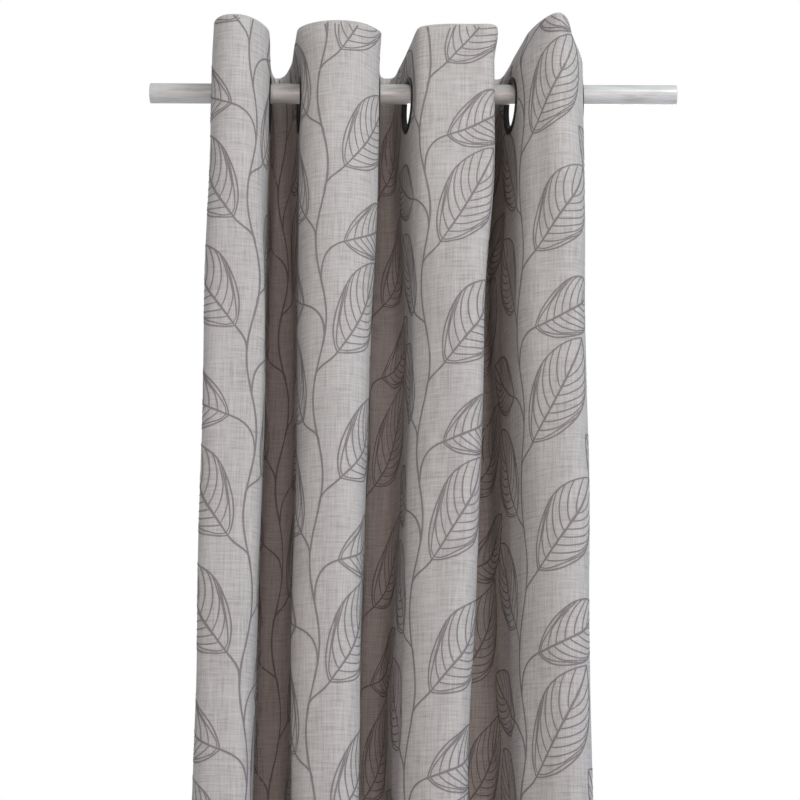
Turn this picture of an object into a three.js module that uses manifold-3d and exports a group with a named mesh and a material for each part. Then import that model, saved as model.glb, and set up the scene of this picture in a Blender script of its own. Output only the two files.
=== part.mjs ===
// Eyelet curtain panel hanging in folds on a plain round rod.
// Units are millimetres. X runs along the rod, -Y faces the room and +Z is up.
// The origin is on the rod's axis, half way along it.

import * as THREE from 'three';
import { mergeVertices } from 'three/addons/utils/BufferGeometryUtils.js';
import Module from 'manifold-3d';

const wasm = await Module();
wasm.setup();

// Rod
const rodRadius = 10;
const rodLength = 526;
const rodSides = 48;

// Cloth, as cut and hemmed
const panelWidth = 1400;
const panelDrop = 2500;
const topAboveRod = 52;
const hemLine = topAboveRod - panelDrop;
const headerDepth = 120;
const bottomHem = 80;
const sideHem = 24;
const faceOffset = 0.7; // from the cloth's middle to its printed face
const singleOffset = 0.7; // from the middle to the wrong side of the single cloth
const hemOffset = 1.5; // from the middle to the wrong side where a hem is turned
const hemStep = 1.5; // width over which a hem's edge steps down

// Eyelets
const eyeletCount = 8;
const eyeletPitch = 174;
const sideMargin = (panelWidth - eyeletPitch * (eyeletCount - 1)) / 2;
const eyeletInner = 22.5;
const eyeletOuter = 28.5;
const eyeletSides = 20;
const barrelWall = 1.1;
const flangeThickness = 1.1;
const edgeEase = 0.5; // rounding of a flange's rim
const pieceGap = 0.3;
const ringHang = 0.55; // the flats of a ring come closer to the rod than its corners, which clear it by this
const eyeletDrop = eyeletInner - rodRadius - ringHang; // the rings hang on the top of the rod
const holeRadius = eyeletInner + barrelWall + pieceGap;
const ringFlat = 29.5; // cloth on each side of an eyelet's middle that stays flat

// The cloth changes from level to level: places are read at the top edge, round the rings, and below.
const ringTop = 17;
const stiffFoot = -62; // the header holds its shape down to here
const shelf = -260;
const sill = -690;
const levels = [
  { name: 'top', z: topAboveRod },
  { name: 'ring', z: ringTop },
  { name: 'ring', z: stiffFoot },
  { name: 'shelf', z: shelf },
  { name: 'sill', z: sill },
  { name: 'hem', z: hemLine },
];

// A flank is the straight stretch of cloth that holds one eyelet and crosses the rod's line. The first
// columns are its places along the rod at each level. The lean columns are its angle from the Y axis in
// degrees at the rod, the shelf and the hem: a positive lean carries its room end to the right.
const flanks = [
  { top: -196, ring: -197, shelf: -196.5, sill: -194.5, hem: -206, lean: 0, shelfLean: -1, hemLean: -2 },
  { top: -145, ring: -144, shelf: -144, sill: -146, hem: -155, lean: 2.5, shelfLean: 4, hemLean: 6 },
  { top: -119, ring: -113, shelf: -111, sill: -111, hem: -123, lean: 6.5, shelfLean: 4.5, hemLean: 7 },
  { top: -34, ring: -36, shelf: -43, sill: -51, hem: -66, lean: 3, shelfLean: 2, hemLean: 2 },
  { top: -3.5, ring: -5, shelf: -3, sill: -17, hem: -36, lean: 10.5, shelfLean: 7, hemLean: 9 },
  { top: 81, ring: 77, shelf: 66, sill: 49, hem: 31, lean: 2.5, shelfLean: 2, hemLean: 2.5 },
  { top: 108, ring: 98, shelf: 94, sill: 92, hem: 72, lean: 10, shelfLean: 11, hemLean: 13 },
  { top: 155, ring: 166, shelf: 165, sill: 162, hem: 152, lean: 0, shelfLean: -2, hemLean: -4 },
];

// A fold joins two flanks, towards the room or towards the wall. Its crown is its deepest line, placed
// from 0 at the left flank to 1 at the right one. A shoulder of 2 is round and a larger one squarer. The
// face of the fold arches: towards each shoulder it falls back by the arch's share of the fold's depth.
const folds = [
  {
    toRoom: true,
    rod: { crown: 0.4, left: 4.5, right: 3, leftArch: 0.2, rightArch: 0.5 },
    shelf: { crown: 0.5, left: 4, right: 4, leftArch: 0.1, rightArch: 0.12 },
    hem: { crown: 0.5, left: 3, right: 3.2, leftArch: 0.1, rightArch: 0.12 },
  },
  {
    toRoom: false,
    rod: { crown: 0.3, left: 2.4, right: 2.4, leftArch: 0, rightArch: 0 },
    shelf: { crown: 0.5, left: 3.4, right: 3.2, leftArch: 0, rightArch: 0 },
    hem: { crown: 0.5, left: 2.4, right: 2.2, leftArch: 0, rightArch: 0 },
  },
  {
    toRoom: true,
    rod: { crown: 0.47, left: 5, right: 4, leftArch: 0.42, rightArch: 0.68 },
    shelf: { crown: 0.6, left: 3.8, right: 3.2, leftArch: 0.32, rightArch: 0.15 },
    hem: { crown: 0.58, left: 3, right: 2.6, leftArch: 0.36, rightArch: 0.15 },
  },
  {
    toRoom: false,
    rod: { crown: 0.5, left: 2.6, right: 5, leftArch: 0, rightArch: 0 },
    shelf: { crown: 0.5, left: 3.2, right: 3.4, leftArch: 0, rightArch: 0 },
    hem: { crown: 0.5, left: 2.3, right: 2.2, leftArch: 0, rightArch: 0 },
  },
  {
    toRoom: true,
    rod: { crown: 0.8, left: 8, right: 4, leftArch: 0.2, rightArch: 0.02 },
    shelf: { crown: 0.68, left: 3.4, right: 3.2, leftArch: 0.5, rightArch: 0.15 },
    hem: { crown: 0.66, left: 2.9, right: 2.6, leftArch: 0.54, rightArch: 0.15 },
  },
  {
    toRoom: false,
    rod: { crown: 0.55, left: 2.4, right: 4.5, leftArch: 0, rightArch: 0 },
    shelf: { crown: 0.5, left: 3.2, right: 3.6, leftArch: 0, rightArch: 0 },
    hem: { crown: 0.5, left: 2.2, right: 2.4, leftArch: 0, rightArch: 0 },
  },
  {
    toRoom: true,
    rod: { crown: 0.55, left: 1.85, right: 1.8, leftArch: 0, rightArch: 0 },
    shelf: { crown: 0.68, left: 3.2, right: 3, leftArch: 0.46, rightArch: 0.1 },
    hem: { crown: 0.68, left: 2.7, right: 2.6, leftArch: 0.56, rightArch: 0.1 },
  },
];

// Past the outer eyelets the cloth runs back to its side edges, turning by these angles in degrees.
const leftCurl = -8;
const rightCurl = 8;

// Fineness of the faceted cloth
const pathSteps = 96;
const foldCells = 12;
const sideCells = 3;
const bodyRows = 9;
const rowGrowth = 1.35; // rows lie closer together just under the header
const depthTries = 40;

function mix(from, to, share) {
  return from + (to - from) * share;
}

function eased(share) {
  return share * share * (3 - 2 * share);
}

// A value that is given at the rod, the shelf and the hem, eased between them at a height.
function shapeAt(z, atRod, atShelf, atHem) {
  if (z >= stiffFoot) {
    return atRod;
  }
  if (z >= shelf) {
    return mix(atRod, atShelf, eased((stiffFoot - z) / (stiffFoot - shelf)));
  }
  return mix(atShelf, atHem, eased((shelf - z) / (shelf - hemLine)));
}

// A flank's place along the rod at a height, easing from each level to the next.
function flankPlace(flank, z) {
  const foot = Math.max(levels.findIndex((level) => z >= level.z), 1);
  const above = levels[foot - 1];
  const below = levels[foot];
  const share = eased((above.z - z) / (above.z - below.z));
  return mix(flank[above.name], flank[below.name], share);
}

// A flank at a height: its place where it crosses the rod's line, and its slope across it.
function flankAt(flank, z) {
  const lean = shapeAt(z, flank.lean, flank.shelfLean, flank.hemLean);
  return { x: flankPlace(flank, z), slope: -Math.tan(THREE.MathUtils.degToRad(lean)) };
}

// The plan of one fold at a height, from the rod's line on one flank to the rod's line on the next.
// It leaves each flank straight and rounds over between them at the given depth.
function foldPath(fold, z, left, right, depth) {
  const side = fold.toRoom ? -1 : 1;
  const crown = shapeAt(z, fold.rod.crown, fold.shelf.crown, fold.hem.crown);
  const leftShoulder = shapeAt(z, fold.rod.left, fold.shelf.left, fold.hem.left);
  const rightShoulder = shapeAt(z, fold.rod.right, fold.shelf.right, fold.hem.right);
  const leftArch = shapeAt(z, fold.rod.leftArch, fold.shelf.leftArch, fold.hem.leftArch);
  const rightArch = shapeAt(z, fold.rod.rightArch, fold.shelf.rightArch, fold.hem.rightArch);
  const path = [new THREE.Vector2(left.x, 0)];
  for (let step = 0; step <= pathSteps; step += 1) {
    const turn = (Math.PI * step) / pathSteps;
    const onLeft = turn <= Math.PI / 2;
    const power = 2 / (onLeft ? leftShoulder : rightShoulder);
    const away = Math.pow(Math.abs(Math.cos(turn)), power);
    const arch = 1 - (onLeft ? leftArch : rightArch) * away * away;
    const out = Math.pow(Math.max(Math.sin(turn), 0), power) * arch;
    const across = onLeft ? crown * (1 - away) : mix(crown, 1, away);
    const y = side * (ringFlat + depth * out);
    const x = mix(left.x + left.slope * y, right.x + right.slope * y, across);
    path.push(new THREE.Vector2(x, y));
  }
  path.push(new THREE.Vector2(right.x, 0));
  return path;
}

function pathLength(path) {
  let length = 0;
  for (let i = 1; i < path.length; i += 1) {
    length += path[i].distanceTo(path[i - 1]);
  }
  return length;
}

// The fold whose cloth measures one eyelet pitch, found by halving the range of its depth.
function fittedFold(fold, z, left, right) {
  let shallow = 0;
  let deep = eyeletPitch;
  for (let i = 0; i < depthTries; i += 1) {
    const depth = (shallow + deep) / 2;
    if (pathLength(foldPath(fold, z, left, right, depth)) < eyeletPitch) {
      shallow = depth;
    } else {
      deep = depth;
    }
  }
  return foldPath(fold, z, left, right, (shallow + deep) / 2);
}

// The plan of a side margin, from the rod's line on an outer flank back to the cloth's side edge.
function sidePath(flank, curl) {
  const point = new THREE.Vector2(flank.x, 0);
  const path = [point.clone()];
  const heading = new THREE.Vector2(flank.slope, 1).normalize();
  path.push(point.addScaledVector(heading, ringFlat).clone());
  const turn = THREE.MathUtils.degToRad(curl) / pathSteps;
  const step = (sideMargin - ringFlat) / pathSteps;
  for (let i = 0; i < pathSteps; i += 1) {
    heading.rotateAround(new THREE.Vector2(), turn);
    path.push(point.addScaledVector(heading, step).clone());
  }
  return path;
}

// The whole plan of the cloth at a height, from its left side edge to its right one.
function sectionPath(z) {
  const places = flanks.map((flank) => flankAt(flank, z));
  const path = sidePath(places[0], leftCurl).reverse();
  folds.forEach((fold, i) => {
    path.push(...fittedFold(fold, z, places[i], places[i + 1]).slice(1));
  });
  path.push(...sidePath(places[places.length - 1], rightCurl).slice(1));
  return path;
}

// Distances along the cloth's width at which it is faceted: close on the folds, wide on the flanks.
function widthStations() {
  const stations = [0, sideHem, sideHem + hemStep];
  for (let i = 1; i <= sideCells; i += 1) {
    stations.push(mix(sideHem + hemStep, sideMargin - ringFlat, i / sideCells));
  }
  for (let fold = 0; fold < folds.length; fold += 1) {
    const start = sideMargin + fold * eyeletPitch + ringFlat;
    for (let i = 0; i <= foldCells; i += 1) {
      stations.push(start + ((eyeletPitch - 2 * ringFlat) * i) / foldCells);
    }
  }
  const mirrored = stations.slice(0, 3 + sideCells).map((station) => panelWidth - station);
  return [...stations, ...mirrored.reverse()];
}

// Heights at which the cloth is faceted.
function rowHeights() {
  const headerFoot = topAboveRod - headerDepth;
  const hemTop = hemLine + bottomHem;
  const heights = [topAboveRod, ringTop, stiffFoot, headerFoot];
  for (let i = 0; i <= bodyRows; i += 1) {
    heights.push(mix(headerFoot - hemStep, hemTop + hemStep, Math.pow(i / bodyRows, rowGrowth)));
  }
  return [...heights, hemTop, hemLine];
}

// Points on a plan at the given distances along it, each with its normal on the printed side.
function pointsAlong(path, stations) {
  const points = [];
  let gone = 0;
  let i = 1;
  for (const station of stations) {
    while (i < path.length - 1 && gone + path[i].distanceTo(path[i - 1]) < station) {
      gone += path[i].distanceTo(path[i - 1]);
      i += 1;
    }
    const along = path[i].clone().sub(path[i - 1]);
    const place = path[i - 1].clone().addScaledVector(along, (station - gone) / along.length());
    const before = path[Math.max(i - 2, 0)];
    const after = path[Math.min(i + 1, path.length - 1)];
    const heading = after.clone().sub(before).normalize();
    points.push({ x: place.x, y: place.y, nx: heading.y, ny: -heading.x });
  }
  return points;
}

// Where the cloth is turned double: the header, the bottom hem and the two side hems.
function isTurned(station, z) {
  const inHeader = z >= topAboveRod - headerDepth;
  const inHem = z <= hemLine + bottomHem;
  const inSide = station <= sideHem || station >= panelWidth - sideHem;
  return inHeader || inHem || inSide;
}

// The uncut sheet: a printed face and a wrong side, closed round the four edges.
function sheetGeometry() {
  const stations = widthStations();
  const heights = rowHeights();
  const columns = stations.length;
  const rows = heights.length;
  const positions = [];
  for (const onFace of [true, false]) {
    for (const z of heights) {
      pointsAlong(sectionPath(z), stations).forEach((point, column) => {
        const back = isTurned(stations[column], z) ? hemOffset : singleOffset;
        const offset = onFace ? faceOffset : -back;
        positions.push(point.x + point.nx * offset, point.y + point.ny * offset, z);
      });
    }
  }
  const face = (row, column) => row * columns + column;
  const back = (row, column) => rows * columns + face(row, column);
  const index = [];
  const quad = (a, b, c, d) => index.push(a, b, c, a, c, d);
  for (let row = 0; row < rows - 1; row += 1) {
    for (let column = 0; column < columns - 1; column += 1) {
      quad(face(row + 1, column), face(row + 1, column + 1), face(row, column + 1), face(row, column));
      quad(back(row, column), back(row, column + 1), back(row + 1, column + 1), back(row + 1, column));
    }
    quad(face(row, 0), back(row, 0), back(row + 1, 0), face(row + 1, 0));
    const last = columns - 1;
    quad(face(row + 1, last), back(row + 1, last), back(row, last), face(row, last));
  }
  for (let column = 0; column < columns - 1; column += 1) {
    quad(face(0, column), face(0, column + 1), back(0, column + 1), back(0, column));
    const foot = rows - 1;
    quad(back(foot, column), back(foot, column + 1), face(foot, column + 1), face(foot, column));
  }
  const geometry = new THREE.BufferGeometry();
  geometry.setAttribute('position', new THREE.Float32BufferAttribute(positions, 3));
  geometry.setIndex(index);
  return geometry;
}

function toManifold(geometry) {
  const bare = geometry.clone();
  bare.deleteAttribute('normal');
  bare.deleteAttribute('uv');
  const merged = mergeVertices(bare);
  const vertProperties = new Float32Array(merged.attributes.position.array);
  const triVerts = new Uint32Array(merged.index.array);
  return new wasm.Manifold(new wasm.Mesh({ numProp: 3, vertProperties, triVerts }));
}

function toGeometry(solid) {
  const mesh = solid.getMesh();
  const geometry = new THREE.BufferGeometry();
  geometry.setAttribute('position', new THREE.BufferAttribute(new Float32Array(mesh.vertProperties), 3));
  geometry.setIndex(new THREE.BufferAttribute(new Uint32Array(mesh.triVerts), 1));
  geometry.computeVertexNormals();
  return geometry;
}

// The frame of one eyelet: its middle under the rod's line, its Y axis square to the flank and pointing
// out of the printed side. The printed side faces left on every other flank.
function eyeletFrame(index) {
  const flank = flankAt(flanks[index], -eyeletDrop);
  const facing = index % 2 === 0 ? -1 : 1;
  const normal = new THREE.Vector3(facing, -facing * flank.slope, 0).normalize();
  const frame = new THREE.Object3D();
  frame.position.set(flank.x, 0, -eyeletDrop);
  frame.quaternion.setFromUnitVectors(new THREE.Vector3(0, 1, 0), normal);
  frame.updateMatrixWorld(true);
  return frame;
}

function clothGeometry() {
  let solid = toManifold(sheetGeometry());
  for (let i = 0; i < eyeletCount; i += 1) {
    const punch = new THREE.CylinderGeometry(holeRadius, holeRadius, 4 * hemOffset, eyeletSides);
    punch.applyMatrix4(eyeletFrame(i).matrixWorld);
    solid = solid.subtract(toManifold(punch));
  }
  return toGeometry(solid);
}

// The half of an eyelet on the printed side: a domed flange with the barrel behind it.
function eyeletFaceGeometry() {
  const seat = faceOffset + pieceGap;
  const crest = seat + flangeThickness;
  const barrelEnd = -(hemOffset + pieceGap + flangeThickness);
  const barrelOuter = eyeletInner + barrelWall;
  const profile = [
    new THREE.Vector2(eyeletInner, barrelEnd),
    new THREE.Vector2(barrelOuter, barrelEnd),
    new THREE.Vector2(barrelOuter, seat),
    new THREE.Vector2(eyeletOuter, seat),
    new THREE.Vector2(eyeletOuter - edgeEase, crest - edgeEase),
    new THREE.Vector2((eyeletInner + eyeletOuter) / 2, crest),
    new THREE.Vector2(eyeletInner, crest - edgeEase),
    new THREE.Vector2(eyeletInner, barrelEnd),
  ];
  return new THREE.LatheGeometry(profile, eyeletSides);
}

// The half on the wrong side: a ring that grips the barrel.
function eyeletBackGeometry() {
  const seat = -(hemOffset + pieceGap);
  const crest = seat - flangeThickness;
  const profile = [
    new THREE.Vector2(holeRadius, seat),
    new THREE.Vector2(holeRadius, crest),
    new THREE.Vector2(eyeletOuter - edgeEase, crest),
    new THREE.Vector2(eyeletOuter, crest + edgeEase),
    new THREE.Vector2(eyeletOuter, seat),
    new THREE.Vector2(holeRadius, seat),
  ];
  return new THREE.LatheGeometry(profile, eyeletSides);
}

const clothMaterial = new THREE.MeshStandardMaterial({ color: 0xbfb6ae, roughness: 0.95, metalness: 0 });
const eyeletMaterial = new THREE.MeshStandardMaterial({ color: 0x1a1a1b, roughness: 0.35, metalness: 0.6 });
const rodMaterial = new THREE.MeshStandardMaterial({ color: 0xc6cac9, roughness: 0.45, metalness: 0 });

function namedMesh(name, geometry, material) {
  const mesh = new THREE.Mesh(geometry, material);
  mesh.name = name;
  return mesh;
}

const curtain = new THREE.Group();

curtain.add(namedMesh('curtain_cloth', clothGeometry(), clothMaterial));

for (let i = 0; i < eyeletCount; i += 1) {
  const frame = eyeletFrame(i);
  const face = namedMesh(`eyelet_face_${i + 1}`, eyeletFaceGeometry(), eyeletMaterial);
  const back = namedMesh(`eyelet_back_${i + 1}`, eyeletBackGeometry(), eyeletMaterial);
  for (const half of [face, back]) {
    half.position.copy(frame.position);
    half.quaternion.copy(frame.quaternion);
    curtain.add(half);
  }
}

const rod = namedMesh(
  'curtain_rod',
  new THREE.CylinderGeometry(rodRadius, rodRadius, rodLength, rodSides),
  rodMaterial,
);
rod.rotation.z = Math.PI / 2;
curtain.add(rod);

export default curtain;
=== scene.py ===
import math

import bpy
import numpy as np
from mathutils import Matrix, Vector


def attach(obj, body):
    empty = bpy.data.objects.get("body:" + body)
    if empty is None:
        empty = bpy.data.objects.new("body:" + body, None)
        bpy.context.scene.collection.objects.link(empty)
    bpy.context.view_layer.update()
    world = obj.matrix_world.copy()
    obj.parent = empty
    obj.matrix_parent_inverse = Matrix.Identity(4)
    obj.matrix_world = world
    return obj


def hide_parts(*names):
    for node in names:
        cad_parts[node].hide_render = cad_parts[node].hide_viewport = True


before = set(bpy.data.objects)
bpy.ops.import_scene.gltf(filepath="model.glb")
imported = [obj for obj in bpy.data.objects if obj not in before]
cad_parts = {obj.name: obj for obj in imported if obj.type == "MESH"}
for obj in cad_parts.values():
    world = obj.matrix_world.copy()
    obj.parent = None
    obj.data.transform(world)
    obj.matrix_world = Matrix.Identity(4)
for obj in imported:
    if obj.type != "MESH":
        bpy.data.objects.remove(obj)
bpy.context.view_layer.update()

mm = 0.001  # the tables below are in millimetres

# the panel, cut and hemmed
panel = {
    "width": 1400,
    "drop": 2500,
    "topAboveRod": 52,
    "header": 120,
    "bottomHem": 80,
    "sideHem": 24,
    "faceOffset": 0.7,  # middle of the cloth to its printed face
    "backOffset": 0.7,
    "turnedOffset": 1.5,  # the same to the wrong side where a hem lies behind
    "hemStep": 1.5,
    "edgeRound": 0.7,
    "edgeShare": 0.35,  # of the thickness, left at the very edge
}
topEdge = panel["topAboveRod"]
hemLine = topEdge - panel["drop"]

eyelet = {
    "count": 8,
    "pitch": 174,
    "inner": 22.5,
    "outer": 28.5,
    "barrelWall": 1.1,
    "flange": 1.1,
    "gap": 0.3,
    "drop": 11.95,  # middle of a ring below the rod's axis
    "hole": 24.4,
    "flat": 29.5,  # cloth round a ring that stays flat
    "turns": 72,
    "sharp": 35,
}
sideMargin = (panel["width"] - eyelet["pitch"] * (eyelet["count"] - 1)) / 2


def mix(a, b, share):
    return a + (b - a) * share


def eased(share):
    share = np.clip(share, 0, 1)
    return share * share * (3 - 2 * share)


# heights at which the plan of the cloth is stated; it is eased from one to the next
levels = {
    "top": topEdge,
    "ring": 17,
    "stiffFoot": -62,
    "shelf": -260,
    "sill": -690,
    "hem": hemLine,
}

# the level at which each of a flank's places is reached
placeSteps = [
    ("top", "top"),
    ("ring", "ring"),
    ("stiffFoot", "ring"),
    ("shelf", "shelf"),
    ("sill", "sill"),
    ("hem", "hem"),
]
planSteps = 96  # points round a fold or along a side
halvings = 32  # of the range in which a fold's depth is sought

# places along the rod at each level, and how far each flank leans in degrees
flanks = [
    {"top": -196, "ring": -197, "shelf": -196.5, "sill": -194.5, "hem": -206, "lean": (0, -1, -2)},
    {"top": -145, "ring": -144, "shelf": -144, "sill": -146, "hem": -155, "lean": (2.5, 4, 6)},
    {"top": -119, "ring": -113, "shelf": -111, "sill": -111, "hem": -123, "lean": (6.5, 4.5, 7)},
    {"top": -34, "ring": -36, "shelf": -43, "sill": -51, "hem": -66, "lean": (3, 2, 2)},
    {"top": -3.5, "ring": -5, "shelf": -3, "sill": -17, "hem": -36, "lean": (10.5, 7, 9)},
    {"top": 81, "ring": 77, "shelf": 66, "sill": 49, "hem": 31, "lean": (2.5, 2, 2.5)},
    {"top": 108, "ring": 98, "shelf": 94, "sill": 92, "hem": 72, "lean": (10, 11, 13)},
    {"top": 155, "ring": 166, "shelf": 165, "sill": 162, "hem": 152, "lean": (0, -2, -4)},
]

# crown place, squareness of the two shoulders and how far the face falls back towards each of
# them, as a share of the fold's depth, at the rod, the shelf and the hem
folds = [
    {
        "toRoom": True,
        "crown": (0.4, 0.5, 0.5),
        "left": (4.5, 4, 3),
        "right": (3, 4, 3.2),
        "leftArch": (0.2, 0.1, 0.1),
        "rightArch": (0.5, 0.12, 0.12),
    },
    {
        "toRoom": False,
        "crown": (0.3, 0.5, 0.5),
        "left": (2.4, 3.4, 2.4),
        "right": (2.4, 3.2, 2.2),
        "leftArch": (0, 0, 0),
        "rightArch": (0, 0, 0),
    },
    {
        "toRoom": True,
        "crown": (0.47, 0.6, 0.58),
        "left": (5, 3.8, 3),
        "right": (4, 3.2, 2.6),
        "leftArch": (0.42, 0.32, 0.36),
        "rightArch": (0.68, 0.15, 0.15),
    },
    {
        "toRoom": False,
        "crown": (0.5, 0.5, 0.5),
        "left": (2.6, 3.2, 2.3),
        "right": (5, 3.4, 2.2),
        "leftArch": (0, 0, 0),
        "rightArch": (0, 0, 0),
    },
    {
        "toRoom": True,
        "crown": (0.8, 0.68, 0.66),
        "left": (8, 3.4, 2.9),
        "right": (4, 3.2, 2.6),
        "leftArch": (0.2, 0.5, 0.54),
        "rightArch": (0.02, 0.15, 0.15),
    },
    {
        "toRoom": False,
        "crown": (0.55, 0.5, 0.5),
        "left": (2.4, 3.2, 2.2),
        "right": (4.5, 3.6, 2.4),
        "leftArch": (0, 0, 0),
        "rightArch": (0, 0, 0),
    },
    {
        "toRoom": True,
        "crown": (0.55, 0.68, 0.68),
        "left": (1.85, 3.2, 2.7),
        "right": (1.8, 3, 2.6),
        "leftArch": (0, 0.46, 0.56),
        "rightArch": (0, 0.1, 0.1),
    },
]
sideCurl = {"left": -8, "right": 8}


def shareDown(z, above, below):
    # 0 at the upper level, 1 at the lower
    return (levels[above] - z) / (levels[above] - levels[below])


def shapeAt(z, three):
    atRod, atShelf, atHem = three
    upper = mix(atRod, atShelf, eased(shareDown(z, "stiffFoot", "shelf")))
    lower = mix(atShelf, atHem, eased(shareDown(z, "shelf", "hem")))
    return np.where(z >= levels["shelf"], upper, lower)


def flankPlace(flank, z):
    place = np.full_like(z, float(flank["top"]))
    for (above, a), (below, b) in zip(placeSteps[:-1], placeSteps[1:]):
        there = mix(flank[a], flank[b], eased(shareDown(z, above, below)))
        place = np.where(z <= levels[above], there, place)
    return place


def flankSlope(flank, z):
    return -np.tan(np.radians(shapeAt(z, flank["lean"])))


def foldPlan(fold, z, left, right, depth):
    # one fold between two flanks: a row of points for each height
    def column(three):
        return shapeAt(z, three)[:, None]

    side = -1 if fold["toRoom"] else 1
    turn = np.pi * np.arange(planSteps + 1) / planSteps
    onLeft = turn <= np.pi / 2 + 1e-9
    shoulder = np.where(onLeft, column(fold["left"]), column(fold["right"]))
    away = np.abs(np.cos(turn)) ** (2 / shoulder)
    arch = np.where(onLeft, column(fold["leftArch"]), column(fold["rightArch"]))
    out = np.maximum(np.sin(turn), 0) ** (2 / shoulder) * (1 - arch * away**2)
    crown = column(fold["crown"])
    across = np.where(onLeft, crown * (1 - away), mix(crown, 1, away))
    y = side * (eyelet["flat"] + depth[:, None] * out)
    xLeft = left[0][:, None] + left[1][:, None] * y
    xRight = right[0][:, None] + right[1][:, None] * y
    x = mix(xLeft, xRight, across)
    x = np.hstack([left[0][:, None], x, right[0][:, None]])
    y = np.hstack([np.zeros((len(z), 1)), y, np.zeros((len(z), 1))])
    return x, y


def planLength(x, y):
    return np.hypot(np.diff(x, axis=1), np.diff(y, axis=1)).sum(1)


def fittedFold(fold, z, left, right):
    shallow, deep = np.zeros(len(z)), np.full(len(z), float(eyelet["pitch"]))
    for _ in range(halvings):
        depth = (shallow + deep) / 2
        short = planLength(*foldPlan(fold, z, left, right, depth)) < eyelet["pitch"]
        shallow, deep = np.where(short, depth, shallow), np.where(short, deep, depth)
    return foldPlan(fold, z, left, right, (shallow + deep) / 2)


def sidePlan(flank, z, curl):
    # the cloth past an outer flank, which curls a little towards its edge
    bend = np.radians(curl) * np.arange(planSteps + 1) / planSteps
    heading = np.arctan2(1, flank[1])[:, None] + bend
    straight = eyelet["flat"]
    step = (sideMargin - straight) / planSteps
    length = np.concatenate([[straight], np.full(planSteps, step)])
    start = np.zeros((len(z), 1))
    x = flank[0][:, None] + np.hstack([start, np.cumsum(np.cos(heading) * length, axis=1)])
    y = np.hstack([start, np.cumsum(np.sin(heading) * length, axis=1)])
    return x, y


def wholePlan(z):
    places = [(flankPlace(f, z), flankSlope(f, z)) for f in flanks]
    x, y = sidePlan(places[0], z, sideCurl["left"])
    xs, ys = [x[:, ::-1]], [y[:, ::-1]]
    for i, fold in enumerate(folds):
        x, y = fittedFold(fold, z, places[i], places[i + 1])
        xs.append(x[:, 1:])
        ys.append(y[:, 1:])
    x, y = sidePlan(places[-1], z, sideCurl["right"])
    return np.hstack([*xs, x[:, 1:]]), np.hstack([*ys, y[:, 1:]])


# small unevenness of the hanging cloth: wave lengths across and down, and height
ripples = [
    {"across": 61, "down": 830, "size": 0.55, "start": 0.4},
    {"across": 43, "down": -1270, "size": 0.4, "start": 1.9},
    {"across": 97, "down": 540, "size": 0.7, "start": 3.1},
    {"across": 29, "down": 2100, "size": 0.18, "start": 0.8},
    {"across": 151, "down": -390, "size": 0.8, "start": 5.0},
    {"across": 233, "down": 260, "size": 0.5, "start": 2.2},
]

# main creases: soft troughs (below 0) and ridges along the cloth
creases = [
    {"at": 214, "from": -70, "to": -420, "width": 9, "rise": -1.1, "drift": 8},
    {"at": 163, "from": -60, "to": -700, "width": 12, "rise": 1.0, "drift": -9},
    {"at": 520, "from": -80, "to": -520, "width": 10, "rise": -1.2, "drift": -12},
    {"at": 548, "from": -300, "to": -1200, "width": 13, "rise": 1.1, "drift": 10},
    {"at": 872, "from": -70, "to": -380, "width": 9, "rise": -1.0, "drift": 9},
    {"at": 902, "from": -250, "to": -1500, "width": 14, "rise": 1.2, "drift": -14},
    {"at": 1210, "from": 40, "to": -240, "width": 10, "rise": -1.6, "drift": -10},
    {"at": 1236, "from": -120, "to": -900, "width": 12, "rise": 1.1, "drift": 12},
    {"at": 330, "from": -90, "to": -900, "width": 12, "rise": -1.2, "drift": 8},
    {"at": 700, "from": -90, "to": -1100, "width": 12, "rise": 1.1, "drift": -10},
    {"at": 1050, "from": -90, "to": -800, "width": 11, "rise": -1.0, "drift": 8},
]


def eyeletStation(i):
    return sideMargin + eyelet["pitch"] * i


def ringDistance(u, z):
    near = np.full(np.broadcast(u, z).shape, 1e9)
    for i in range(eyelet["count"]):
        near = np.minimum(near, np.hypot(u - eyeletStation(i), z + eyelet["drop"]))
    return near


# where the cloth is held still: near the rings, and in part in the stiff header
stillness = {"ring": 36, "ringEase": 60, "headerEase": 260, "headerShare": 0.35}

creaseForm = {"startEase": 4, "endEase": 2.5, "swing": 2.2, "swingStart": 0.4}

# puckers that spread from each ring, except straight above it
puckers = {
    "rise": 0.45,
    "count": 6,
    "turn": 1.7,  # radians, from one ring to the next
    "start": 31,
    "startEase": 12,
    "full": 36,
    "fade": 26,
    "reach": 2.4,  # radians, to each side of straight down
    "reachEase": 1.2,
}


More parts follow.
